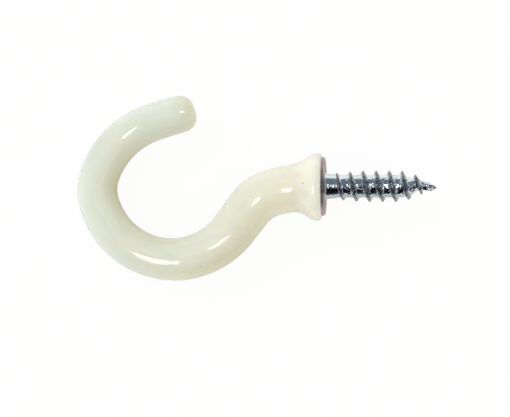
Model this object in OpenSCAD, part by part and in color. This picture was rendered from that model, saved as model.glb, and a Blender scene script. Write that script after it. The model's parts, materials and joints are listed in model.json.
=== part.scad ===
// Vinyl-coated cup hook: a steel wire bent to a hook, with a wood-screw thread
// rolled on its straight end, a stamped collar against which the screw stops,
// and a soft vinyl jacket dipped over the hook and the collar's rim.
// Millimetres. The origin is the middle of the collar's seat. The screw points
// along +X, the open side of the hook faces +Y, and the hook lies on its side
// on a level surface, +Z up.

/* [Wire and screw] */
// Diameter of the bare wire
wire_d = 3.15; // [2.4:0.05:4]
// Length of the screw, from the collar's seat to its tip
screw_len = 14.3; // [11:0.1:24]
// Length of plain wire between the seat and the thread
plain_len = 1.1; // [0.6:0.05:3]
// Distance from one thread crest to the next
pitch = 1.69; // [1.2:0.01:2.2]
// Height of the thread, from root to crest
thread_h = 0.57; // [0.3:0.01:0.7]
// Depth of the thread's root below the wire's surface
root_cut = 0.13; // [0.05:0.01:0.25]
// Width of the flat on top of the crest
crest_w = 0.1; // [0.06:0.01:0.2]
// Angle between the two flanks of the thread
flank_angle = 60; // [45:1:65]
// Turns over which the thread rises to its full height
run_in = 0.8; // [0.5:0.1:1.5]
// Direction, round the wire, in which the thread starts
thread_from = -51; // [-180:1:180]

/* [Gimlet point] */
// Length of the tapered end, its nib included
point_len = 4.4; // [3.5:0.1:6]
// Length of the thin nib in front of the taper
nib_len = 1.9; // [1:0.1:2.5]
// Diameter of the nib
nib_d = 1.08; // [0.8:0.02:1.4]
// Diameter of the nib's blunt end
tip_d = 0.44; // [0.2:0.02:0.6]
// How far the nib starts off the screw's axis
nib_shift = 0.18; // [0:0.01:0.25]
// Angle by which the nib leans back across the axis
nib_lean = 9; // [0:0.5:12]

/* [Collar] */
// Diameter of the collar
collar_d = 7.66; // [6.4:0.02:11]
// Depth of the collar at the wire
collar_h = 0.95; // [0.9:0.01:1.4]
// Depth of the collar's straight rim
rim_h = 0.75; // [0.7:0.01:0.85]
// Rounding of the rim at the seat
rim_round = 0.42; // [0.2:0.02:0.5]
// Width of the flat seat
seat_w = 0.8; // [0.5:0.05:1.1]
// Depth of the dish inside the seat
dish_h = 0.25; // [0.1:0.01:0.4]

/* [Bends of the hook] */
// Radius of the gentle bend next to the collar
lead_r = 22.2; // [15:0.1:30]
// Sweep of that bend
lead_turn = 14.7; // [10:0.1:20]
// Radius of the neck's bend
neck_r = 6.15; // [5:0.05:12]
// Sweep of the neck's bend
neck_turn = 38.6; // [30:0.1:50]
// Length of the straight between the neck and the bowl
link_len = 3.05; // [1:0.05:8]
// Radius of the bowl, where a load hangs
bowl_r = 9.92; // [8:0.02:14]
// Sweep of the bowl
bowl_turn = 130.6; // [115:0.1:145]
// Radius of the tighter bend that follows the bowl
heel_r = 5.62; // [4.5:0.02:9]
// Sweep of that bend
heel_turn = 30.9; // [20:0.1:45]
// Radius of the crown, which brings the wire back
crown_r = 11; // [8:0.1:15]
// Sweep of the crown
crown_turn = 54.3; // [45:0.1:65]
// Length of the straight end, the jacket's tip included
end_len = 5.5; // [4.5:0.1:10]

/* [Vinyl jacket] */
// Thickness of the vinyl at the neck
neck_wall = 1.5; // [1:0.02:2]
// Thickness of the vinyl at the bottom of the bowl
bowl_wall = 1.14; // [0.8:0.02:1.6]
// Thickness of the vinyl at the heel
heel_wall = 1.04; // [0.7:0.02:1.5]
// Thickness of the vinyl near the tip
tip_wall = 0.86; // [0.6:0.02:1.3]
// Thickness of the vinyl round the collar's rim
lip_wall = 0.57; // [0.3:0.01:0.8]
// How far the collar stands out of the vinyl
collar_show = 0.61; // [0.45:0.01:0.68]
// Reach of the flare along the neck
flare_len = 1.85; // [1.2:0.05:2.5]
// How far the vinyl of the flare has sagged towards the inside of the neck
flare_sag = 0.2; // [0:0.01:0.3]
// Length of the domed tip
dome_len = 2.3; // [1.8:0.05:2.8]

/* [Way it lies] */
// How far round the bowl, in degrees, the hook touches what it lies on
rest_turn = 122; // [60:1:130]

/* [Hidden] */
$fn = 48;

wire_r = wire_d / 2;
core_r = wire_r - root_cut;
nib_r = nib_d / 2;
collar_r = collar_d / 2;
lip_r = collar_r + lip_wall;
// The bends start this far behind the collar, so that its bore stays straight.
bore_clear = 0.05;
stem_len = collar_h + bore_clear;
// The wire stops this far inside the vinyl's tip.
wire_end_gap = 1.4;

// ---- The hook's centre line, from the seat to the tip ----
// Each stretch is [radius, sweep], sweep positive to the left, or [0, length].
stretches = [
    [0, stem_len],
    [lead_r, lead_turn],
    [neck_r, neck_turn],
    [0, link_len],
    [bowl_r, -bowl_turn],
    [heel_r, -heel_turn],
    [crown_r, -crown_turn],
    [0, end_len],
];
neck_at = 2;
bowl_at = 4;
heel_at = 5;

function arc_len(r, sweep) = r * abs(sweep) * PI / 180;
function stretch_len(s) = s[0] == 0 ? s[1] : arc_len(s[0], s[1]);

// A pose is [x, y, heading]. after() moves it on by a length along a stretch.
function after(pose, s, run) =
    s[0] == 0
    ? [pose[0] + run * cos(pose[2]), pose[1] + run * sin(pose[2]), pose[2]]
    : let (side = sign(s[1]),
           turn = side * run / s[0] * 180 / PI,
           r = side * s[0],
           h = pose[2])
      [pose[0] + r * (sin(h + turn) - sin(h)),
       pose[1] - r * (cos(h + turn) - cos(h)),
       h + turn];

function stretch_start(i) =
    i == 0 ? [0, 0, 180]
    : after(stretch_start(i - 1), stretches[i - 1], stretch_len(stretches[i - 1]));
starts = [for (i = [0 : len(stretches) - 1]) stretch_start(i)];

function run_before(i) = i == 0 ? 0 : run_before(i - 1) + stretch_len(stretches[i - 1]);
runs = [for (i = [0 : len(stretches)]) run_before(i)];
path_len = runs[len(stretches)];

function stretch_at(u, i = 0) =
    i == len(stretches) - 1 || u <= runs[i + 1] ? i : stretch_at(u, i + 1);
function pose_at(u) = let (i = stretch_at(u)) after(starts[i], stretches[i], u - runs[i]);
function middle_of(i) = (runs[i] + runs[i + 1]) / 2;

// ---- The jacket's radius along the centre line ----
// The lip's front is a flat ring this wide round the collar, then a rounding.
lip_flat = 0.1;
lip_round = lip_wall - lip_flat;
lip_u = collar_show + lip_round;
dome_u = path_len - dome_len;
vinyl = [
    [0, neck_wall],
    [middle_of(neck_at), neck_wall],
    [middle_of(bowl_at), bowl_wall],
    [middle_of(heel_at), heel_wall],
    [dome_u, tip_wall],
];
function tube_r(u) = wire_r + lookup(u, vinyl);
function flare(u) = exp(-pow((u - lip_u) / flare_len, 2));
function jacket_r(u) = tube_r(u) + (lip_r - tube_r(lip_u)) * flare(u);
// The sag is deepest this far along the flare, and as wide as it is far.
sag_len = 0.7 * flare_len;
function sag(u) = flare_sag * exp(-pow((u - lip_u - sag_len) / sag_len, 2));

// ---- The way it lies ----
// The jacket's rings have flats, one of them at the bottom, this share of the
// radius away from the centre line. The plane under the hook touches the
// flats of the collar's lip and of the bowl.
jacket_sides = 40;
flat_share = cos(180 / jacket_sides);
touch_u = runs[bowl_at] + arc_len(bowl_r, rest_turn);
touch = pose_at(touch_u);
taper = flat_share * (jacket_r(touch_u + 1) - jacket_r(touch_u - 1)) / 2;
span = [touch[0] + lip_u, touch[1]];
drop = flat_share * (jacket_r(touch_u) - lip_r);
along = [cos(touch[2]), sin(touch[2])];
det = span[0] * along[1] - span[1] * along[0];
lean_x = (drop * along[1] - span[1] * taper) / det;
lean_y = (span[0] * taper - drop * along[0]) / det;
lean_z = sqrt(1 - lean_x * lean_x - lean_y * lean_y);
roll = atan2(lean_y, lean_z);
raise = atan2(lean_x, norm([lean_y, lean_z]));

module laid_down() {
    rotate([roll, -raise, 0]) children();
}

// Turns a shape drawn up the Z axis to point along the screw.
module along_screw() {
    rotate([0, 90, 0]) children();
}

// ---- Tubes swept along the centre line ----
// A station is [length along the line, radius, shift to the inside of the neck].
function ring(station, sides) =
    let (p = pose_at(station[0]), r = station[1])
    [for (k = [0 : sides - 1])
        let (a = 360 * (k + 0.5) / sides, across = station[2] + r * cos(a))
        [p[0] - across * sin(p[2]), p[1] + across * cos(p[2]), r * sin(a)]];

// A tube with a flat start. Its end is flat too, or closes on a nose point.
module swept(stations, sides, nose = []) {
    n = len(stations);
    last = (n - 1) * sides;
    rings = [for (s = stations) each ring(s, sides)];
    walls = [for (i = [0 : n - 2], k = [0 : sides - 1])
        let (a = i * sides + k, b = i * sides + (k + 1) % sides)
        each [[b, a, a + sides], [b, a + sides, b + sides]]];
    start = [[for (k = [0 : sides - 1]) k]];
    end = len(nose) == 0
        ? [[for (k = [sides - 1 : -1 : 0]) last + k]]
        : [for (k = [0 : sides - 1]) [last + (k + 1) % sides, last + k, n * sides]];
    polyhedron(concat(rings, len(nose) == 0 ? [] : [nose]), concat(start, walls, end), convexity = 10);
}

// ---- Wire ----
// The straight stem runs through the collar's bore. The bends start inside
// it, a hair thinner, and end inside the vinyl's tip.
wire_sides = 20;
wire_ring_gap = 1.1;
bend_inset = 0.02;

module stem() {
    translate([-stem_len, 0, 0]) along_screw() cylinder(r = wire_r, h = stem_len + plain_len);
}

module wire_bends() {
    from = stem_len / 2;
    to = path_len - wire_end_gap;
    n = ceil((to - from) / wire_ring_gap);
    swept([for (k = [0 : n]) [from + (to - from) * k / n, wire_r - bend_inset, 0]], wire_sides);
}

// ---- Screw ----
point_start = screw_len - point_len;
nib_start = screw_len - nib_len;
// The nib's root is this far inside the taper.
nib_sunk = 0.5;
// Length over which the plain wire narrows to the thread's root.
neck_in = 0.35;

function core_at(x) = lookup(x, [[point_start, core_r], [nib_start, nib_r]]);

module screw_core() {
    along_screw() {
        translate([0, 0, plain_len]) cylinder(r1 = wire_r, r2 = core_r, h = neck_in);
        translate([0, 0, plain_len + neck_in])
            cylinder(r = core_r, h = point_start - plain_len - neck_in);
        translate([0, 0, point_start]) cylinder(r1 = core_r, r2 = nib_r, h = nib_start - point_start);
    }
    translate([nib_start - nib_sunk, nib_shift, 0]) rotate([0, 0, -nib_lean]) along_screw() {
        cylinder(r = nib_r, h = nib_len / 2 + nib_sunk);
        translate([0, 0, nib_len / 2 + nib_sunk])
            cylinder(r1 = nib_r, r2 = tip_d / 2, h = nib_len / 2);
    }
}

// The ridge is swept along its helix. Its base is sunk in the core. It rises
// from the core over run_in turns and dies away over run_out turns on the nib.
sections = 24;
sink = 0.2;
run_out = 0.4;
thread_lead = 0.1;
thread_over_nib = 0.2;
thread_start = plain_len + thread_lead;
thread_end = nib_start + thread_over_nib;
steps = floor((thread_end - thread_start) / pitch * sections);

function rise(k) = min(1, k / (run_in * sections), (steps - k) / (run_out * sections));
function ridge_section(k) =
    let (turn = 360 * k / sections + thread_from,
         x = thread_start + pitch * k / sections,
         core = core_at(x),
         top = max(core - sink / 2, core + thread_h * rise(k)),
         base = core - sink,
         half = crest_w / 2 + (top - base) * tan(flank_angle / 2))
    [for (p = [[-half, base], [-crest_w / 2, top], [crest_w / 2, top], [half, base]])
        [x + p[0], p[1] * cos(turn), p[1] * sin(turn)]];

module thread_ridge() {
    points = [for (k = [0 : steps]) each ridge_section(k)];
    flanks = [for (k = [0 : steps - 1], j = [0 : 3])
        let (a = 4 * k + j, b = 4 * k + (j + 1) % 4)
        each [[a, b, b + 4], [a, b + 4, a + 4]]];
    first = [[0, 2, 1], [0, 3, 2]];
    last = [for (t = [[0, 1, 2], [0, 2, 3]]) [for (v = t) 4 * steps + v]];
    polyhedron(points, concat(flanks, first, last), convexity = 10);
}

module hook_wire() {
    color([0.72, 0.75, 0.78]) laid_down() {
        stem();
        wire_bends();
        screw_core();
        thread_ridge();
    }
}

// ---- Collar ----
// Width of the flat round the wire, on the collar's hidden back.
hub_w = 0.5;

module collar_profile(bored) {
    edge = collar_r - rim_round;
    hub_r = wire_r + hub_w;
    dish_r = edge - seat_w;
    inside = bored ? [[wire_r, -collar_h], [wire_r, -dish_h], [dish_r, 0]] : [[0, -collar_h], [0, 0]];
    difference() {
        polygon(concat([[collar_r, 0], [collar_r, -rim_h], [hub_r, -collar_h]], inside));
        difference() {
            translate([edge, -rim_round]) square(2 * rim_round);
            translate([edge, -rim_round]) circle(r = rim_round);
        }
    }
}

module collar_ring(bored = true) {
    along_screw() rotate_extrude() collar_profile(bored);
}

module collar() {
    color([0.62, 0.6, 0.58]) laid_down() collar_ring();
}

// ---- Jacket ----
jacket_ring_gap = 0.85;
lip_rings = 4;
flare_rings = 8;
dome_rings = 7;
// The last ring of the dome stops short of its top by this share of a ring.
dome_short = 0.6;
flare_end = lip_u + 2 * flare_len;
tube_rings = ceil((dome_u - flare_end) / jacket_ring_gap);

function station(u, r) = [u, r, sag(u)];
jacket_stations = concat(
    [for (k = [0 : lip_rings - 1])
        let (a = 90 * k / lip_rings)
        station(lip_u - lip_round * cos(a), lip_r - lip_round * (1 - sin(a)))],
    [for (k = [0 : flare_rings])
        let (u = lip_u + (flare_end - lip_u) * k / flare_rings)
        station(u, jacket_r(u))],
    [for (k = [1 : tube_rings])
        let (u = flare_end + (dome_u - flare_end) * k / tube_rings)
        station(u, jacket_r(u))],
    [for (k = [1 : dome_rings])
        let (a = 90 * k / (dome_rings + dome_short))
        station(dome_u + dome_len * sin(a), tube_r(dome_u) * cos(a))]);

module jacket_skin() {
    tip = pose_at(path_len);
    swept(jacket_stations, jacket_sides, [tip[0], tip[1], 0]);
}

module vinyl_jacket() {
    color([0.92, 0.92, 0.84]) laid_down() difference() {
        jacket_skin();
        stem();
        wire_bends();
        collar_ring(bored = false);
    }
}

hook_wire();
collar();
vinyl_jacket();
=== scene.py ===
"""The looks of a vinyl-coated cup hook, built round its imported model.

The hook lies on its side on a pale floor and is seen from straight above. Shapes are worked out
in millimetres in the hook's own frame (X along the screw, Y to the open side of the hook), and
to_row() lays them down in the row's frame, in metres. The camera and the lamps are placed in the
row's frame. u is a distance along the hook's centre line, from the seat to the tip of the hook,
and a is an angle round it.
"""

import json
import math

import bmesh
import bpy
import numpy as np
from mathutils import Matrix, Vector, noise


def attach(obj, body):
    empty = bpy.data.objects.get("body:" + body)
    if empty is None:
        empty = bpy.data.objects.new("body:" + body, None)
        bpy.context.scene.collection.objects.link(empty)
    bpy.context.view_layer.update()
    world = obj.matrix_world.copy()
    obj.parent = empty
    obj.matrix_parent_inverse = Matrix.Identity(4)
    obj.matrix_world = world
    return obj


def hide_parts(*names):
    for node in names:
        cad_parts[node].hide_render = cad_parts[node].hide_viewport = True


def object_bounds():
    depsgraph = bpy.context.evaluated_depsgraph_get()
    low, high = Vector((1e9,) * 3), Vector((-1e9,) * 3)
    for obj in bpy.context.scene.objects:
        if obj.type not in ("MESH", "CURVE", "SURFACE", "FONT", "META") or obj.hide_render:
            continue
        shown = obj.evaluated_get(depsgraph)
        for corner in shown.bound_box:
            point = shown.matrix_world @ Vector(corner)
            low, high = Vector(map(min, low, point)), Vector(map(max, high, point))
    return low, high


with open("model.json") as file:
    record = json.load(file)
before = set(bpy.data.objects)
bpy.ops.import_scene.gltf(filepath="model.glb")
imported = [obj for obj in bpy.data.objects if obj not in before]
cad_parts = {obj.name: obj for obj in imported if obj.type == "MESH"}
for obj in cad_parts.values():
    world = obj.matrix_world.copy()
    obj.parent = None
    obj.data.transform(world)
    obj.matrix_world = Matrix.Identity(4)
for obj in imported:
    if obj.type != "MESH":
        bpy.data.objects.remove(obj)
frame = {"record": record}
cad_low, cad_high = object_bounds()
hook_centre = (cad_low + cad_high) / 2
MM = 0.001
# What is nearer than this, in millimetres, is in one place.
TINY = 1e-6

# ---- Wire and screw, in millimetres, as in the part's source ----
WIRE_R = 3.15 / 2
SCREW_LEN = 14.3
PLAIN_LEN = 1.1
# Length over which the plain wire narrows to the thread's root.
NECK_IN = 0.35
PITCH = 1.69
THREAD_H = 0.57
CORE_R = WIRE_R - 0.13
CREST_W = 0.1
FLANK = math.radians(60 / 2)
# Direction round the wire, in degrees, in which the thread starts.
THREAD_FROM = -51.0
THREAD_START = PLAIN_LEN + 0.1
POINT_START = SCREW_LEN - 4.4
NIB_START = SCREW_LEN - 1.9
# The nib narrows to its blunt end from here.
NIB_NARROWS = (NIB_START + SCREW_LEN) / 2
# The root of the nib, inside the taper, where it is furthest off the screw's axis.
NIB_ROOT = NIB_START - 0.5
NIB_R = 1.08 / 2
TIP_R = 0.44 / 2
NIB_SHIFT = 0.18
NIB_LEAN = math.radians(9)
# The bends are this much smaller in radius than the stem in the collar.
BEND_INSET = 0.02
# The wire stops this far inside the vinyl's tip.
WIRE_END_GAP = 1.4

# ---- The screw where it follows the photo further than the source does ----
# The thread comes up within START_TURN turns to about FIRST_RISE of its height, is full RUN_IN
# turns after its start, and dies away over the last RUN_OUT turns, on the nib.
START_TURN = 0.25
FIRST_RISE = 0.45
RUN_IN = 2.0
RUN_OUT = 0.15
THREAD_END = NIB_START + 0.28
# How gently the thread's flanks run into its root.
ROOT_SOFT = 0.09
# The shank's fillet at the collar: (distance from the seat, what it adds to the radius).
SHANK_FILLET = [(-0.15, 0.3), (-0.05, 0.22), (0.1, 0.12), (0.3, 0.05), (0.55, 0.0)]
# The core goes over to the nib's own axis from here, over this length.
SHIFT_START, SHIFT_RUN = 11.2, 0.9
# The point is torn from here on, fully so after this length, by this share of its radius.
TORN_START, TORN_RUN, POINT_TORN = 11.6, 0.8, 0.3
# How fast that changes along the point and round it.
TORN_ALONG, TORN_ROUND = 2.4, 1.5

# ---- Collar, as in the part's source ----
COLLAR_R = 7.66 / 2
COLLAR_H = 0.95
RIM_H = 0.75
RIM_ROUND = 0.42
SEAT_W = 0.8
DISH_H = 0.25
HUB_R = WIRE_R + 0.5
COLLAR_SHOW = 0.61
# The wire is straight in the collar's bore, up to here.
STEM_LEN = COLLAR_H + 0.05

# ---- Centre line and jacket, as in the part's source ----
# Each stretch is (radius, sweep in degrees, positive to the left), or (0, length).
STRETCHES = [
    (0, STEM_LEN),
    (22.2, 14.7),
    (6.15, 38.6),
    (0, 3.05),
    (9.92, -130.6),
    (5.62, -30.9),
    (11.0, -54.3),
    (0, 5.5),
]
NECK_AT, BOWL_AT, HEEL_AT = 2, 4, 5
NECK_WALL, BOWL_WALL, HEEL_WALL, TIP_WALL = 1.5, 1.14, 1.04, 0.86
LIP_WALL = 0.57
LIP_R = COLLAR_R + LIP_WALL
LIP_ROUND = LIP_WALL - 0.1
LIP_U = COLLAR_SHOW + LIP_ROUND
FLARE_LEN = 1.85
FLARE_SAG = 0.2
# The flare's sag is deepest this far behind the lip, and as wide as it is far.
SAG_LEN = 0.7 * FLARE_LEN
DOME_LEN = 2.3

# ---- The jacket where it follows the photo further than the source does ----
# Its front reaches further over the collar.
LIP_FRONT = COLLAR_SHOW - 0.1
# The dome is a blunt one below 1, and a half ellipsoid at 1.
DOME_BLUNT = 0.82
# The tip has sagged to the inside of the hook by this, over this length.
TIP_SAG = 0.075
TIP_SAG_RUN = 1.5 * DOME_LEN
# The coat is thinner in places by up to this, at this distance from bump to bump. It is more
# even where its radius is under EVEN_UNDER.
UNEVEN = 0.05
UNEVEN_GRAIN = 4.0
EVEN_UNDER = 2.0

# ---- How fine the meshes are ----
# Points round the wire and the screw, the jacket and the collar.
TURN, JACKET_SIDES, COLLAR_SIDES = 64, 96, 128
# Rings along the wire's bends and their bore, round the lip, over the dome, along the nib and
# round the collar's rim.
WIRE_RINGS, LIP_RINGS, DOME_RINGS, NIB_RINGS, RIM_RINGS = 90, 9, 20, 14, 10
# Distance from ring to ring along the rest of the jacket.
RING_GAP = 0.2
# The last ring of the dome stands this many degrees round it, short of its top.
DOME_STOP = 87
# Points this close, in metres, are welded, and edges this short are removed.
WELD = 2e-6
SLIVER = 1e-6


# ---- The hook's centre line ----
def stretch_len(s):
    return s[1] if s[0] == 0 else s[0] * abs(math.radians(s[1]))


def after(pose, s, run):
    """A pose (x, y, heading) moved on by a length along a stretch."""
    x, y, h = pose
    if s[0] == 0:
        return (x + run * math.cos(h), y + run * math.sin(h), h)
    side = math.copysign(1, s[1])
    turn, r = side * run / s[0], side * s[0]
    return (
        x + r * (math.sin(h + turn) - math.sin(h)),
        y - r * (math.cos(h + turn) - math.cos(h)),
        h + turn,
    )


starts, runs = [(0.0, 0.0, math.pi)], [0.0]
for s in STRETCHES:
    starts.append(after(starts[-1], s, stretch_len(s)))
    runs.append(runs[-1] + stretch_len(s))
PATH_LEN = runs[-1]
DOME_U = PATH_LEN - DOME_LEN


def pose_at(u):
    """The pose on the centre line, this far from the seat along it."""
    i = 0
    while i < len(STRETCHES) - 1 and u > runs[i + 1]:
        i += 1
    return after(starts[i], STRETCHES[i], u - runs[i])


def middle(i):
    return (runs[i] + runs[i + 1]) / 2


# ---- The jacket's radius ----
WALL_U = [0, middle(NECK_AT), middle(BOWL_AT), middle(HEEL_AT), DOME_U]
WALL = [NECK_WALL, NECK_WALL, BOWL_WALL, HEEL_WALL, TIP_WALL]


def tube_r(u):
    return WIRE_R + float(np.interp(u, WALL_U, WALL))


def jacket_r(u):
    """Radius of the tube with its flare."""
    flare = math.exp(-(((u - LIP_U) / FLARE_LEN) ** 2))
    return tube_r(u) + (LIP_R - tube_r(LIP_U)) * flare


def skin_r(u):
    """Radius of the outside, with the domed end."""
    if u <= DOME_U:
        return jacket_r(u)
    turn = math.asin(min(1.0, (u - DOME_U) / DOME_LEN) ** (1 / DOME_BLUNT))
    return tube_r(DOME_U) * math.cos(turn) ** DOME_BLUNT


def smooth(t):
    """0 below 0, 1 above 1, and a soft rise between them."""
    t = min(1.0, max(0.0, t))
    return t * t * (3 - 2 * t)


def sag(u):
    """How far to the left the coat lies off the wire: behind the flare, and less at the tip."""
    behind = FLARE_SAG * math.exp(-(((u - LIP_U - SAG_LEN) / SAG_LEN) ** 2))
    return behind - TIP_SAG * smooth((u - DOME_U + DOME_LEN) / TIP_SAG_RUN)


# ---- Laying the hook down ----
mounts = {m["name"]: m for m in frame["record"]["mounts"]}
along = Vector(mounts["seat"]["axis"]).normalized()
open_way = Vector(mounts["hook_bowl"]["axis"]).normalized()
seat = Vector(mounts["seat"]["pos_m"])
LAID = np.array([along, open_way, along.cross(open_way)]).T


def to_row(points):
    """Points in the hook's frame, in millimetres, as points in the row's frame, in metres,
    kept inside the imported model's box."""
    p = np.asarray(points, float) @ LAID.T * MM + np.array(seat)
    return np.clip(p, np.array(cad_low), np.array(cad_high))


def in_scene(name, data):
    """A new object in the scene that shows this data."""
    obj = bpy.data.objects.new(name, data)
    bpy.context.scene.collection.objects.link(obj)
    return obj


def new_piece(name, points, faces, replaces, sharp, marks=None):
    """A finished piece, with edges sharper than this many degrees left sharp. marks are named
    numbers kept at its points, for its material."""
    mesh = bpy.data.meshes.new(name)
    mesh.from_pydata([tuple(p) for p in to_row(points)], [], faces)
    for mark, values in (marks or {}).items():
        mesh.attributes.new(mark, "FLOAT", "POINT").data.foreach_set("value", values)
    bm = bmesh.new()
    bm.from_mesh(mesh)
    bmesh.ops.remove_doubles(bm, verts=bm.verts, dist=WELD)
    bmesh.ops.dissolve_degenerate(bm, dist=SLIVER, edges=bm.edges)
    bmesh.ops.recalc_face_normals(bm, faces=bm.faces)
    bm.to_mesh(mesh)
    bm.free()
    mesh.shade_smooth()
    mesh.set_sharp_from_angle(angle=math.radians(sharp))
    obj = in_scene(name, mesh)
    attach(obj, "root")
    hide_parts(replaces)
    return obj


def tube_faces(rings, sides):
    """Quads between rings of one size that follow each other."""
    faces = []
    for i in range(rings - 1):
        for k in range(sides):
            here, beside = i * sides + k, i * sides + (k + 1) % sides
            faces.append((here, beside, beside + sides, here + sides))
    return faces


def ring_point(u, a, radius, shift=0.0):
    """The point of a ring square to the centre line, at angle a from its left side."""
    x, y, h = pose_at(u)
    across = shift + radius * math.cos(a)
    return np.array([x - across * math.sin(h), y + across * math.cos(h), radius * math.sin(a)])


def ring(u, radius, sides):
    return [ring_point(u, 2 * math.pi * k / sides, radius) for k in range(sides)]


# ---- Vinyl jacket ----
# The coat starts here, behind the collar, and clears the collar's rim by this.
COAT_START = COLLAR_H + 0.02
RIM_GAP = 0.01
# The inner edge of its front, rounded off: (distance behind the front, distance off the rim).
FRONT_EDGE = [(0.07, RIM_GAP), (0.02, 0.025), (0.0, 0.06)]
# The first ring of the flare stands this far behind the lip.
FLARE_GAP = 0.15


def skin_point(u, a, radius):
    """A point of the jacket's outside. A dipped coat is a little uneven, always inward here,
    but its front edge and its tip are even."""
    point = ring_point(u, a, radius, sag(u))
    free = min(1, max(0, u - COLLAR_SHOW)) * min(1, radius / EVEN_UNDER)
    dent = UNEVEN * free * (0.5 + 0.5 * noise.noise(Vector(point) / UNEVEN_GRAIN))
    return ring_point(u, a, radius - dent, sag(u))


def on_jacket(u, share):
    """The point on the jacket's upper side this share of the radius to the left of the centre
    line, looking along it from the collar, and the way it faces. Both in the row's frame."""
    a, du, da = math.acos(share), 0.05, 0.02

    def at(u, a):
        return skin_point(u, a, skin_r(u))

    along_u = at(u + du, a) - at(u - du, a)
    along_a = at(u, a + da) - at(u, a - da)
    facing = Vector(LAID @ np.cross(along_a, along_u)).normalized()
    return Vector(to_row([at(u, a)])[0]), facing * math.copysign(1, facing.z)


def jacket_rings():
    """The rings of the jacket's outside: (distance along the centre line, radius)."""
    front = [(COAT_START, COLLAR_R + RIM_GAP)]
    front += [(LIP_FRONT + back, COLLAR_R + off) for back, off in FRONT_EDGE]
    lip = [
        (LIP_U - (LIP_U - LIP_FRONT) * math.cos(a), LIP_R - LIP_ROUND * (1 - math.sin(a)))
        for a in np.radians(np.linspace(0, 90, LIP_RINGS))
    ]
    body = [(u, jacket_r(u)) for u in np.arange(LIP_U + FLARE_GAP, DOME_U, RING_GAP)]
    dome_angles = np.radians(np.linspace(0, DOME_STOP, DOME_RINGS))
    dome_us = [DOME_U + DOME_LEN * math.sin(a) ** DOME_BLUNT for a in dome_angles]
    return front + lip + body + [(u, skin_r(u)) for u in dome_us]


def build_jacket():
    sides = JACKET_SIDES
    turns = [2 * math.pi * k / sides for k in range(sides)]
    skin = jacket_rings()
    points = [skin_point(u, a, r) for u, r in skin for a in turns]
    faces = tube_faces(len(skin), sides)
    nose = len(points)
    last = nose - sides
    points.append(ring_point(PATH_LEN, 0, 0))
    faces += [(last + k, last + (k + 1) % sides, nose) for k in range(sides)]
    # the bore, round the wire, with its blind end inside the tip
    bore = [COAT_START] + list(np.linspace(STEM_LEN, PATH_LEN - WIRE_END_GAP, WIRE_RINGS))
    bore_from = len(points)
    points += [p for u in bore for p in ring(u, WIRE_R, sides)]
    faces += [tuple(bore_from + i for i in reversed(f)) for f in tube_faces(len(bore), sides)]
    faces.append(tuple(range(len(points) - sides, len(points))))
    faces += [
        (k, bore_from + k, bore_from + (k + 1) % sides, (k + 1) % sides) for k in range(sides)
    ]
    # each outer point's distance along the centre line, and its share of the radius to the left
    hidden = [0.0] * (len(points) - nose)
    marks = {
        "along": [u for u, r in skin for a in turns] + hidden,
        "across": [math.cos(a) for u, r in skin for a in turns] + hidden,
    }
    marks["along"][nose] = PATH_LEN
    return new_piece(
        "vinyl_coat", points, faces, "vinyl_jacket", sharp=60, marks=marks
    )


# ---- Wire and screw ----
CORE_X = [PLAIN_LEN, PLAIN_LEN + NECK_IN, POINT_START, NIB_START, NIB_NARROWS, SCREW_LEN]
CORE_RADII = [WIRE_R, CORE_R, CORE_R, NIB_R, NIB_R, TIP_R]
# The strip that makes the thread starts this many turns before the thread does, at least.
LEAD_TURNS = 1.3
# Across it, the points are close out to this many times the ridge's half width, and sparse from
# there on: how many of each there are to a side.
RIDGE_REACH, RIDGE_STEPS, VALLEY_STEPS = 1.25, 9, 4
# It stops this far beyond the thread, where the nib's rings take over.
STRIP_OVER = 0.02
# The nib's rings stand this far off the strip and off the screw's tip.
NIB_RING_GAP = 0.1
# The nib's blunt end: (distance from the screw's tip, share of the end's radius).
BLUNT_END = [(0.04, 0.8), (0.02, 0.45)]


def core_at(x):
    """Radius of the screw's core, this far from the seat."""
    return float(np.interp(x, CORE_X, CORE_RADII))


def core_shift(x):
    """How far the core's own middle is off the screw's axis, towards the hook's opening."""
    leaned = NIB_SHIFT - (x - NIB_ROOT) * math.tan(NIB_LEAN)
    return smooth((x - SHIFT_START) / SHIFT_RUN) * leaned


def torn(x, angle):
    """How uneven the point is, as a factor on its radius."""
    spot = Vector((x * TORN_ALONG, TORN_ROUND * math.cos(angle), TORN_ROUND * math.sin(angle)))
    return 1 + POINT_TORN * smooth((x - TORN_START) / TORN_RUN) * noise.noise(spot)


def ridge(x, away, turns):
    """Height of the thread this far from its crest line, with a filleted root."""
    rise = min(1, FIRST_RISE + (1 - FIRST_RISE) * turns / RUN_IN)
    ends = min(smooth(turns / START_TURN + 0.5), (THREAD_END - x) / (RUN_OUT * PITCH))
    top = THREAD_H * max(0.0, min(rise, ends))
    fall = (abs(away) - CREST_W / 2) / math.tan(FLANK)
    if fall < TINY:
        return top
    return ROOT_SOFT * math.log1p(math.exp((top - fall) / ROOT_SOFT))


def screw_ring(x, radius):
    """A ring round the core, this far from the seat."""
    points = []
    for k in range(TURN):
        a = 2 * math.pi * k / TURN
        r = radius * torn(x, a)
        points.append((x, core_shift(x) + r * math.cos(a), r * math.sin(a)))
    return points


def strip_offsets():
    """Where the strip's points lie across it, from its back edge, by distance from the crest."""
    half_ridge = CREST_W / 2 + THREAD_H * math.tan(FLANK)
    foot = half_ridge * RIDGE_REACH
    outward = list(np.linspace(CREST_W / 2, foot, RIDGE_STEPS))
    outward += list(np.linspace(foot, PITCH / 2, VALLEY_STEPS))
    offsets = sorted({round(side * t, 5) for side in (-1, 1) for t in outward})
    return [v for v in offsets if v < PITCH / 2 - TINY]


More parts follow.
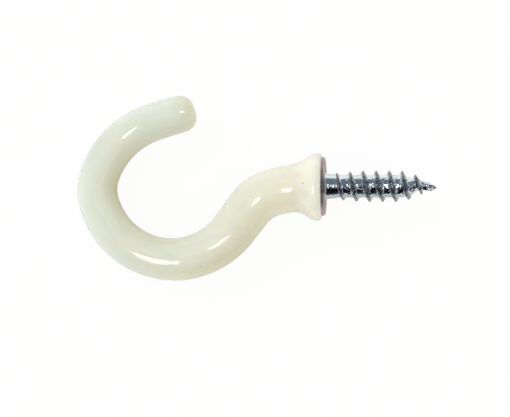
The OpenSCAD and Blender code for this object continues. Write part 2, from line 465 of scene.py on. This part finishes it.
def thread_strip(points, x_low, x_high):
    """Adds the points of a strip one pitch wide, wound round the screw along the thread's
    crest and cut off square at both ends. Returns its faces."""
    across = strip_offsets()
    first_turn = math.floor(-LEAD_TURNS - THREAD_FROM / 360.0) - 1
    made = {}

    def crest_x(k):
        turned = 360.0 * k / TURN - THREAD_FROM
        return THREAD_START + PITCH * (turned / 360.0 + first_turn)

    def vertex(k, j):
        if j == len(across):
            k, j = k + TURN, 0
        if (k, j) not in made:
            angle = 2 * math.pi * k / TURN
            x = min(x_high, max(x_low, crest_x(k) + across[j]))
            turns = (crest_x(k) - THREAD_START) / PITCH
            r = core_at(x) * torn(x, angle)
            if x_low < x < x_high:
                r += ridge(x, across[j], turns)
            made[(k, j)] = len(points)
            points.append((x, core_shift(x) + r * math.cos(angle), r * math.sin(angle)))
        return made[(k, j)]

    steps = math.ceil((x_high + PITCH / 2 - crest_x(0)) / PITCH * TURN) + 1
    return [
        (vertex(k, j), vertex(k, j + 1), vertex(k + 1, j + 1), vertex(k + 1, j))
        for k in range(steps)
        for j in range(len(across))
    ]


def build_wire():
    # from inside the jacket's tip through the bends to the collar, and through its bore
    bend_us = np.linspace(PATH_LEN - WIRE_END_GAP, STEM_LEN, WIRE_RINGS)
    bends = [(u, WIRE_R - BEND_INSET) for u in bend_us] + [(STEM_LEN / 2, WIRE_R)]
    points = []
    for u, r in bends:
        points += [ring_point(u, math.pi - 2 * math.pi * k / TURN, r) for k in range(TURN)]
    shank = [(-DISH_H, 0.0)] + SHANK_FILLET + [(PLAIN_LEN, 0.0)]
    for x, wider in shank:
        points += screw_ring(x, WIRE_R + wider)
    faces = tube_faces(len(bends) + len(shank), TURN)
    faces.append(tuple(range(TURN)))
    strip_end = THREAD_END + STRIP_OVER
    faces += thread_strip(points, PLAIN_LEN, strip_end)
    # the nib beyond the thread, with a rounded blunt end
    between = np.linspace(strip_end + NIB_RING_GAP, SCREW_LEN - NIB_RING_GAP, NIB_RINGS)
    nib = [(x, core_at(x)) for x in [strip_end, *between]]
    nib += [(SCREW_LEN - back, TIP_R * share) for back, share in BLUNT_END]
    nib_from = len(points)
    for x, r in nib:
        points += screw_ring(x, r)
    faces += [tuple(nib_from + i for i in f) for f in tube_faces(len(nib), TURN)]
    faces.append(tuple(range(len(points) - TURN, len(points))))
    return new_piece("screw_wire", points, faces, "hook_wire", sharp=32)


# ---- Collar ----
# The bevel at the back of the rim: half its width, and its depth.
BEVEL_HALF, BEVEL_DEPTH = 0.03, 0.05
# Rings that keep the shading even: on the rim's side, by distance behind the seat, at each edge
# of the flat seat, by distance from it, and in the dish, by radius.
SIDE_RINGS, SEAT_RING, DISH_RINGS = (0.6, 0.5), 0.15, (2.3, 1.95, 1.65)
# The dish's softened edge: (distance behind the seat, distance outward from the edge).
DISH_EDGE = [(0.004, 0.05), (0.02, -0.06)]


def build_collar():
    edge = COLLAR_R - RIM_ROUND
    dish_r = edge - SEAT_W
    back = [(-COLLAR_H, WIRE_R), (-COLLAR_H, HUB_R)]
    rim = [(-RIM_H - BEVEL_HALF, COLLAR_R - BEVEL_DEPTH), (-RIM_H + BEVEL_HALF, COLLAR_R)]
    rim += [(-behind, COLLAR_R) for behind in SIDE_RINGS]
    rim += [
        (-RIM_ROUND * (1 - math.sin(a)), edge + RIM_ROUND * math.cos(a))
        for a in np.radians(np.linspace(0, 90, RIM_RINGS))
    ]
    face = [(0.0, edge - SEAT_RING), (0.0, dish_r + SEAT_RING)]
    face += [(-behind, dish_r + out) for behind, out in DISH_EDGE]
    dish = [(-DISH_H * (dish_r - r) / (dish_r - WIRE_R), r) for r in DISH_RINGS]
    profile = back + rim + face + dish + [(-DISH_H, WIRE_R)]
    sides = COLLAR_SIDES
    turns = [2 * math.pi * k / sides for k in range(sides)]
    points = [(x, r * math.cos(a), r * math.sin(a)) for x, r in profile for a in turns]
    # the last ring meets the first one again
    quads = tube_faces(len(profile) + 1, sides)
    faces = [tuple(i % len(points) for i in quad) for quad in quads]
    return new_piece("stop_collar", points, faces, "collar", sharp=35)


# ---- Materials ----
def srgb(r, g, b):
    """A colour from its display values, 0 to 255, to linear."""
    line = [c / 255 for c in (r, g, b)]
    return tuple(c / 12.92 if c <= 0.04045 else ((c + 0.055) / 1.055) ** 2.4 for c in line) + (1.0,)


class Nodes:
    """A material's or world's node tree, with short ways to add and link nodes."""

    def __init__(self, owner):
        owner.use_nodes = True
        self.tree = owner.node_tree
        self.tree.nodes.clear()

    def feed(self, socket, value):
        """Links an output to a socket, or gives the socket a value of its own."""
        if isinstance(value, bpy.types.NodeSocket):
            self.tree.links.new(value, socket)
        else:
            socket.default_value = value

    def add(self, kind, inputs=None, **settings):
        node = self.tree.nodes.new(kind)
        for name, value in settings.items():
            setattr(node, name, value)
        for name, value in (inputs or {}).items():
            self.feed(node.inputs[name], value)
        return node

    def calc(self, operation, *values):
        return self.add("ShaderNodeMath", dict(enumerate(values)), operation=operation).outputs[0]

    def noise(self, where, scale, detail=2.0, roughness=0.5):
        node = self.add(
            "ShaderNodeTexNoise",
            {"Vector": where, "Scale": scale, "Detail": detail, "Roughness": roughness},
        )
        return node.outputs["Fac"]

    def distance(self, where, point):
        node = self.add("ShaderNodeVectorMath", {0: where, 1: point}, operation="DISTANCE")
        return node.outputs["Value"]

    def ranged(self, value, low, high, to_low=0.0, to_high=1.0, curve="SMOOTHSTEP"):
        node = self.add(
            "ShaderNodeMapRange",
            {"Value": value, "From Min": low, "From Max": high, "To Min": to_low, "To Max": to_high},
            interpolation_type=curve,
        )
        return node.outputs["Result"]

    def mix(self, share, a, b):
        node = self.add("ShaderNodeMix", data_type="RGBA")
        for socket, value in ((node.inputs[0], share), (node.inputs[6], a), (node.inputs[7], b)):
            self.feed(socket, value)
        return node.outputs[2]

    def bump(self, height, strength, depth):
        node = self.add(
            "ShaderNodeBump", {"Strength": strength, "Distance": depth, "Height": height}
        )
        return node.outputs["Normal"]


# ---- Vinyl's looks ----
# Its colours: the hook, the neck and the lip, then the streaks and specks.
HOOK_TINT, NECK_TINT, LIP_TINT = srgb(221, 225, 209), srgb(229, 226, 207), srgb(244, 240, 219)
STREAK_TINT, SPECK_TINT = srgb(236, 239, 230), srgb(140, 128, 100)
# Where, along X in millimetres, the colour goes from hook to neck and from there to the lip.
TO_NECK, TO_LIP = (-24.0, -4.0), (-5.2, -1.2)
# Its mottling: the noise's scale and detail, between which of its values the colour comes up,
# how strongly, and the colour.
MOTTLES = [
    (260, 1.5, (0.42, 0.62), 0.6, srgb(224, 223, 205)),
    (620, 2.0, (0.5, 0.75), 0.5, srgb(216, 219, 204)),
]
# Its streaks, drawn out along the centre line: how fast they change along it and across it,
# between which of the noise's values they come up, and how strongly.
STREAK_SCALE = (0.16, 2.6, 0.0)
STREAK_RANGE, STREAK_STRENGTH = (0.5, 0.78), 0.3
# Painted shade and painted light, in bands along the centre line that are darker in some stretches,
# such as the inner edges and the tip, and lighter in others, such as the lip: where each starts and
# ends along the centre line, the share of the radius to its left from which it grows outward (0:
# all round), how far it fades along the line, its colour in display values and its strength.
PAINTED_SHADING = [
    (4.6, 8.6, 0, 3.0, (236, 234, 212), 0.5),
    (0.5, 3.4, 0.15, 1.8, (247, 240, 226), 0.75),
    (12.0, 19.0, 0.1, 6.0, (198, 195, 168), 0.8),
    (21.0, 31.0, -0.2, 5.5, (212, 208, 181), 0.5),
    (33.5, 45.0, -0.2, 6.5, (201, 197, 169), 0.8),
    (31.0, 43.0, -0.82, 6.0, (190, 182, 151), 0.45),
    (26.0, 38.0, 0.15, 6.0, (222, 228, 217), 0.9),
    (40.8, 44.6, 0.15, 3.6, (196, 199, 189), 0.85),
    (50.5, 53.0, -0.15, 2.4, (224, 226, 208), 0.5),
    (54.4, 61.0, 0, 2.8, (202, 206, 187), 0.8),
]
# Its dark specks: distance along the line, share as above, and radius in millimetres. They fade
# out to SPECK_FADE times their radius.
SPECKS = [(2.73, -0.19, 0.07), (19.8, 0.54, 0.06)]
SPECK_FADE, SPECK_STRENGTH = 1.8, 0.7
# Its gloss: the range of its roughness, and the strength and depth of its ripple.
VINYL_ROUGH = (0.09, 0.13)
RIPPLE, RIPPLE_DEPTH = 0.02, 0.2 * MM
# Light passes this far into it.
GLOW_DEPTH = 2.2 * MM


def mottled(n, where):
    """The vinyl's colour all over."""
    place = n.add("ShaderNodeSeparateXYZ", {"Vector": where})
    tint = HOOK_TINT
    for (far, near), colour in ((TO_NECK, NECK_TINT), (TO_LIP, LIP_TINT)):
        tint = n.mix(n.ranged(place.outputs["X"], far * MM, near * MM), tint, colour)
    for scale, detail, (low, high), strength, colour in MOTTLES:
        share = n.ranged(n.noise(where, scale, detail), low, high, 0.0, strength)
        tint = n.mix(share, tint, colour)
    return tint


def banded(n, where, tint):
    """A colour with the streaks and specks that follow the hook's line, and with bands of painted
    shade and painted light along it.
    """
    along_line = n.add("ShaderNodeAttribute", attribute_name="along").outputs["Fac"]
    across_line = n.add("ShaderNodeAttribute", attribute_name="across").outputs["Fac"]
    drawn = n.add("ShaderNodeCombineXYZ", {"X": along_line, "Y": across_line}).outputs["Vector"]
    drawn = n.add("ShaderNodeVectorMath", {0: drawn, 1: STREAK_SCALE}, operation="MULTIPLY")
    grain = n.noise(drawn.outputs["Vector"], 1.0, 2.0)
    tint = n.mix(n.ranged(grain, *STREAK_RANGE, 0.0, STREAK_STRENGTH), tint, STREAK_TINT)
    # bands of painted shade and painted light along the centre line
    for start, end, side, fade, colour, strength in PAINTED_SHADING:
        begun = n.ranged(along_line, start - fade, start + fade, 0.0, strength)
        lasts = n.ranged(along_line, end - fade, end + fade, 1.0, 0.0)
        share = n.calc("MULTIPLY", begun, lasts)
        if side:
            edge = n.ranged(across_line, side, math.copysign(1.0, side))
            share = n.calc("MULTIPLY", share, edge)
        tint = n.mix(share, tint, srgb(*colour))
    for u, share, size in SPECKS:
        near = n.distance(where, on_jacket(u, share)[0])
        spot = n.ranged(near, size * MM, SPECK_FADE * size * MM, SPECK_STRENGTH, 0.0)
        tint = n.mix(spot, tint, SPECK_TINT)
    return tint


def vinyl_material():
    mat = bpy.data.materials.new("vinyl")
    n = Nodes(mat)
    where = n.add("ShaderNodeTexCoord").outputs["Object"]
    shader = n.add(
        "ShaderNodeBsdfPrincipled",
        {
            "Base Color": banded(n, where, mottled(n, where)),
            "Roughness": n.ranged(n.noise(where, 500, 2.0), 0.3, 0.7, *VINYL_ROUGH),
            "Normal": n.bump(n.noise(where, 900, 1.0), RIPPLE, RIPPLE_DEPTH),
            "IOR": 1.5,
            "Subsurface Weight": 0.7,
            "Subsurface Radius": (1.0, 0.85, 0.4),
            "Subsurface Scale": GLOW_DEPTH,
        },
    )
    n.add("ShaderNodeOutputMaterial", {"Surface": shader.outputs["BSDF"]})
    return mat


# ---- Zinc's looks ----
# The wire's colours: bright, dull, its painted shade and the thread's worn ridge.
WIRE_BRIGHT, WIRE_DULL = (0.84, 0.92, 0.98, 1), (0.71, 0.79, 0.85, 1)
PAINTED_SHADE_TINT, RIDGE_TINT = (0.50, 0.57, 0.62, 1), (0.27, 0.29, 0.32, 1)
# Painted shade, a darker reflection on the side away from the hook's opening: where along Y,
# in millimetres, it is full and where it ends.
PAINTED_SHADE_Y = (-1.1, -0.5)
# The ridge is worn above the core, not at all below the first height and fully above the
# second. That starts on the shank and ends on the nib over these stretches, in millimetres. The
# worn ridge is rougher by RIDGE_ROUGH.
WORN = (0.10, 0.36)
WORN_FROM, WORN_TO = (1.0, 1.4), (NIB_START, NIB_START + 0.5)
RIDGE_ROUGH = 0.15
# The dents grow over this stretch, in millimetres, from this strength on the shank to that on
# the rolled thread. They are this deep, in metres.
ROLLED, DENTED = (1.6, 2.8), (0.4, 1.4)
DENT_DEPTH = 0.1 * MM
# The collar's colours, brownish from its film, and a painted reflection of the shank, dark, round
# this point of the hook's own frame, fading out from the first radius to the second, in
# millimetres.
COLLAR_BRIGHT, COLLAR_DULL = (0.45, 0.38, 0.35, 1), (0.38, 0.27, 0.26, 1)
PAINTED_REFLECTION_TINT, PAINTED_REFLECTION_STRENGTH = (0.08, 0.08, 0.06, 1), 0.8
PAINTED_REFLECTION_AT, PAINTED_REFLECTION_R = (-0.2, 0.0, COLLAR_R - 0.1), (0.5, 1.5)


def over(n, value, stretch, to_low=0.0, to_high=1.0, curve="SMOOTHSTEP"):
    """A change from one number to another over a stretch given in millimetres."""
    return n.ranged(value, stretch[0] * MM, stretch[1] * MM, to_low, to_high, curve)


def zinc_noises(n, where, bright, dull, rough_range):
    """Zinc plate's mottled colour and roughness, and the height of its dents and grit."""
    tint = n.mix(n.ranged(n.noise(where, 700, 2.0), 0.35, 0.65), bright, dull)
    rough = n.ranged(n.noise(where, 1500, 3.0), 0.35, 0.7, *rough_range)
    dents = n.noise(where, 2600, 0.8)
    grit = n.ranged(n.noise(where, 6000, 2.0), 0.0, 1.0, 0.0, 0.06)
    return tint, rough, n.calc("ADD", dents, grit)


def on_ridge(n, where, axial):
    """1 on top of the thread's ridge and 0 on the screw's core, shank and nib."""
    foot = n.add("ShaderNodeVectorMath", {0: tuple(along), "Scale": axial}, operation="SCALE")
    out = n.distance(where, foot.outputs["Vector"])
    core = over(n, axial, (POINT_START, NIB_START), CORE_R * MM, NIB_R * MM, "LINEAR")
    high = over(n, n.calc("SUBTRACT", out, core), WORN)
    there = n.calc("MULTIPLY", over(n, axial, WORN_FROM), over(n, axial, WORN_TO, 1.0, 0.0))
    return n.calc("MULTIPLY", high, there)


def zinc_shader(n, tint, rough, height, grain, metal):
    """The plate's surface. grain is the strength of its dents, and metal how metallic it is."""
    shader = n.add(
        "ShaderNodeBsdfPrincipled",
        {
            "Base Color": tint,
            "Roughness": rough,
            "Normal": n.bump(height, grain, DENT_DEPTH),
            "Metallic": metal,
        },
    )
    n.add("ShaderNodeOutputMaterial", {"Surface": shader.outputs["BSDF"]})


def wire_material():
    """Bright plate, with painted shade on one side, darker on the ridge, and with stronger dents on
    the thread.
    """
    mat = bpy.data.materials.new("zinc_wire")
    n = Nodes(mat)
    where = n.add("ShaderNodeTexCoord").outputs["Object"]
    tint, rough, height = zinc_noises(n, where, WIRE_BRIGHT, WIRE_DULL, rough_range=(0.05, 0.16))
    axial = n.add("ShaderNodeVectorMath", {0: where, 1: tuple(along)}, operation="DOT_PRODUCT")
    axial = axial.outputs["Value"]
    place = n.add("ShaderNodeSeparateXYZ", {"Vector": where})
    # painted shade: the reflection is darker on the side away from the hook's opening
    tint = n.mix(over(n, place.outputs["Y"], PAINTED_SHADE_Y, 1.0, 0.0), tint, PAINTED_SHADE_TINT)
    worn = on_ridge(n, where, axial)
    tint = n.mix(worn, tint, RIDGE_TINT)
    rough = n.calc("ADD", rough, n.calc("MULTIPLY", worn, RIDGE_ROUGH))
    height = n.calc("MULTIPLY", height, over(n, axial, ROLLED, *DENTED))
    zinc_shader(n, tint, rough, height, grain=1.1, metal=1.0)
    return mat


def collar_material():
    """Plate under a brownish film, less metallic, with a painted dark reflection of the shank on the
    upper side of its rim.
    """
    mat = bpy.data.materials.new("zinc_collar")
    n = Nodes(mat)
    where = n.add("ShaderNodeTexCoord").outputs["Object"]
    tint, rough, height = zinc_noises(
        n, where, COLLAR_BRIGHT, COLLAR_DULL, rough_range=(0.2, 0.35)
    )
    # painted reflection: the shank's dark image on the collar's rim
    near = n.distance(where, to_row([PAINTED_REFLECTION_AT])[0])
    tint = n.mix(over(n, near, PAINTED_REFLECTION_R, PAINTED_REFLECTION_STRENGTH, 0.0), tint, PAINTED_REFLECTION_TINT)
    zinc_shader(n, tint, rough, height, grain=0.4, metal=0.6)
    return mat


# ---- Camera and floor ----
# A long lens, as square to the hook as the photo's. At the hook the view is VIEW_W wide, in
# millimetres, and its middle lies VIEW_OFF from the hook's.
LENS, SENSOR, VIEW_W = 300.0, 36.0, 65.8
VIEW_OFF = (-0.19, -2.63, 0)
# The floor, in metres from its middle to a side, and how white it is to the camera.
FLOOR_HALF, FLOOR_WHITE = 2.0, 0.93


def build_camera():
    data = bpy.data.cameras.new("camera")
    data.lens, data.sensor_width = LENS, SENSOR
    data.clip_start, data.clip_end = 0.01, 20
    cam = in_scene("camera", data)
    above = Vector((0, 0, VIEW_W * MM * LENS / SENSOR))
    cam.location = hook_centre + Vector(VIEW_OFF) * MM + above
    bpy.context.scene.camera = cam


def floor_material():
    """White to the camera, but for part of its shading, so that the shadow stays."""
    mat = bpy.data.materials.new("floor")
    n = Nodes(mat)
    path = n.add("ShaderNodeLightPath")
    share = n.calc("MULTIPLY", path.outputs["Is Camera Ray"], FLOOR_WHITE)
    white = n.add("ShaderNodeBsdfDiffuse", {"Color": (0.92, 0.91, 0.88, 1)}).outputs[0]
    glow = n.add("ShaderNodeEmission", {"Color": (1, 1, 1, 1), "Strength": 1.0}).outputs[0]
    mixed = n.add("ShaderNodeMixShader", {0: share, 1: white, 2: glow})
    n.add("ShaderNodeOutputMaterial", {"Surface": mixed.outputs[0]})
    return mat


def build_floor():
    mesh = bpy.data.meshes.new("floor")
    s, z = FLOOR_HALF, cad_low.z
    mesh.from_pydata([(-s, -s, z), (s, -s, z), (s, s, z), (-s, s, z)], [], [(0, 1, 2, 3)])
    floor = in_scene("floor", mesh)
    mesh.materials.append(floor_material())


# ---- Lamps ----
# The soft lamps: name, place from the hook's middle in metres, size, power and colour.
SOFT_LAMPS = [
    ("key", (-0.45, 0.26, 0.3), 0.4, 1.5, (0.7, 0.76, 1.0)),
    ("fill", (0.5, 0.0, 0.25), 0.35, 0.25, (1.0, 0.96, 0.9)),
]
# The highlights on the vinyl: name, where each starts and ends as (distance along the centre
# line, share of the radius to its left), half its width as such a share, how far above it its
# lamp is in millimetres, and how bright.
CATCHES = [
    ("catch_tip", (53.6, 0.09), (54.35, 0.07), 0.05, 6, 15),
    ("catch_crown", (46.25, 0.01), (46.75, 0.04), 0.08, 8, 13),
    ("catch_bowl", (22.5, 0.11), (26.7, 0.17), 0.12, 16, 10),
    ("catch_rise", (15.8, 0.05), (17.3, -0.04), 0.08, 8, 8),
    ("catch_neck", (8.9, -0.01), (9.2, 0.03), 0.10, 5, 9),
    ("catch_flare", (4.7, 0.06), (5.15, 0.02), 0.12, 5, 13),
    ("catch_lip", (1.3, 0.06), (1.55, 0.06), 0.16, 4, 9),
]
# Each of those lamps has a beam this much wider to each side, in degrees, than its rays need.
BEAM_MARGIN = 3
# The lamp above the screw: its place and size in metres, its turn about X and its beam in
# degrees, and its power.
SCREW_LAMP_AT = (0.0098, 0.0004, 0.02)
SCREW_LAMP_SIZE = (0.0110, 0.0095)
SCREW_LAMP_TURN, SCREW_LAMP_BEAM = -3, 75
SCREW_LAMP_POWER = 0.00013


def new_lamp(name, shape):
    """An area lamp that the camera doesn't see, and its data."""
    data = bpy.data.lights.new(name, "AREA")
    data.shape = shape
    lamp = in_scene(name, data)
    lamp.visible_camera = False
    return lamp, data


def soft_lamp(name, off, size, power, colour):
    """A large lamp aimed at the hook, which shiny parts don't mirror."""
    lamp, data = new_lamp(name, "SQUARE")
    data.size, data.energy, data.color = size, power, colour
    lamp.visible_glossy = False
    lamp.location = hook_centre + Vector(off)
    aim = hook_centre - lamp.location
    lamp.rotation_euler = aim.to_track_quat("-Z", "Y").to_euler()


def mirror_rays(start, end, half_width):
    """Nine points of the jacket, three by three over a highlight, each with the direction in
    which it mirrors the camera."""
    eye = bpy.context.scene.camera.location
    rays = []
    for t in (0.0, 0.5, 1.0):
        u, share = (start[i] + (end[i] - start[i]) * t for i in (0, 1))
        for side in (-half_width, 0.0, half_width):
            point, facing = on_jacket(u, share + side)
            view = (eye - point).normalized()
            rays.append((point, 2 * facing.dot(view) * facing - view))
    return rays


def catch_light(name, start, end, half_width, height, glow):
    """A small lamp above the hook whose reflection fills one stretch of the jacket."""
    rays = mirror_rays(start, end, half_width)
    # the lamp faces down the middle ray, and lies along the highlight
    centre, up = rays[4]
    far = height * MM
    hits = [p + r * (far - (p - centre).dot(up)) / r.dot(up) - centre for p, r in rays]
    length = hits[7] - hits[1]
    length = (length - length.dot(up) * up).normalized()
    width = up.cross(length)
    reach = [[hit.dot(axis) for hit in hits] for axis in (length, width)]
    half_beam = max(r.angle(up) for p, r in rays) + math.radians(BEAM_MARGIN)
    lamp, data = new_lamp(name, "ELLIPSE")
    data.size, data.size_y = (max(v) - min(v) for v in reach)
    data.spread = 2 * half_beam
    data.energy = glow * data.size * data.size_y * half_beam * half_beam
    lamp.visible_diffuse = False
    mid = [(max(v) + min(v)) / 2 for v in reach]
    at = centre + up * far + length * mid[0] + width * mid[1]
    turn = Matrix((length, width, up)).transposed().to_4x4()
    lamp.matrix_world = Matrix.Translation(at) @ turn


def screw_light():
    """A lamp close above the screw, which its dents pick up as glints."""
    lamp, data = new_lamp("catch_screw", "RECTANGLE")
    data.size, data.size_y = SCREW_LAMP_SIZE
    data.spread = math.radians(SCREW_LAMP_BEAM)
    data.energy = SCREW_LAMP_POWER
    lamp.visible_diffuse = False
    lamp.location = SCREW_LAMP_AT
    lamp.rotation_euler = (math.radians(SCREW_LAMP_TURN), 0, 0)


# ---- The studio round the hook ----
# What the shiny parts mirror, by the angle in degrees from straight up towards +Y.
STUDIO = [
    (-180, (0.46, 0.50, 0.54)),
    (-135, (0.36, 0.41, 0.45)),
    (-104, (0.28, 0.33, 0.37)),
    (-88, (0.18, 0.22, 0.26)),
    (-76, (0.03, 0.04, 0.05)),
    (-62, (0.002, 0.002, 0.003)),
    (-22, (0.002, 0.002, 0.003)),
    (-12, (0.05, 0.05, 0.06)),
    (0, (0.13, 0.14, 0.15)),
    (34, (0.14, 0.17, 0.19)),
    (72, (0.15, 0.18, 0.21)),
    (84, (0.45, 0.52, 0.57)),
    (94, (0.90, 0.98, 1.0)),
    (180, (0.95, 1.0, 1.0)),
]
# Its two ends, along X: their colour, and from which share of X it comes up and is full.
STUDIO_ENDS, ENDS_RANGE = (0.3, 0.31, 0.33, 1), (0.55, 0.85)
# The plain light that falls on everything.
DAYLIGHT, DAYLIGHT_STRENGTH = (1.0, 0.982, 0.925, 1), 0.885


def studio_colour(n):
    """The colour of the studio in each direction."""
    way = n.add("ShaderNodeTexCoord").outputs["Generated"]
    way = n.add("ShaderNodeSeparateXYZ", {"Vector": way})
    tilt = n.calc("ARCTAN2", way.outputs["Y"], way.outputs["Z"])
    ramp = n.add("ShaderNodeValToRGB", {"Fac": n.ranged(tilt, -math.pi, math.pi, curve="LINEAR")})
    stops = ramp.color_ramp.elements
    while len(stops) < len(STUDIO):
        stops.new(0.5)
    for stop, (angle, colour) in zip(stops, STUDIO):
        stop.position = (angle + 180) / 360
    for stop, (angle, colour) in zip(stops, STUDIO):
        stop.color = colour + (1,)
    ends = n.ranged(n.calc("ABSOLUTE", way.outputs["X"]), *ENDS_RANGE)
    return n.mix(ends, ramp.outputs["Color"], STUDIO_ENDS)


def build_world():
    """Plain light on the hook, white to the camera, and the studio to what is shiny."""
    world = bpy.data.worlds.new("studio")
    bpy.context.scene.world = world
    n = Nodes(world)
    path = n.add("ShaderNodeLightPath").outputs
    shown = n.mix(path["Is Glossy Ray"], (1, 1, 1, 1), studio_colour(n))
    seen = n.calc("MAXIMUM", path["Is Camera Ray"], path["Is Glossy Ray"])
    seen = n.calc("MAXIMUM", seen, path["Is Transmission Ray"])
    lit = n.add("ShaderNodeBackground", {"Color": DAYLIGHT, "Strength": DAYLIGHT_STRENGTH})
    back = n.add("ShaderNodeBackground", {"Color": shown, "Strength": 1.0})
    mixed = n.add("ShaderNodeMixShader", {0: seen, 1: lit.outputs[0], 2: back.outputs[0]})
    n.add("ShaderNodeOutputWorld", {"Surface": mixed.outputs[0]})


build_camera()
build_jacket().data.materials.append(vinyl_material())
build_wire().data.materials.append(wire_material())
build_collar().data.materials.append(collar_material())
build_floor()
for lamp in SOFT_LAMPS:
    soft_lamp(*lamp)
for catch in CATCHES:
    catch_light(*catch)
screw_light()
build_world()

scene = bpy.context.scene
scene.view_settings.view_transform = "Standard"
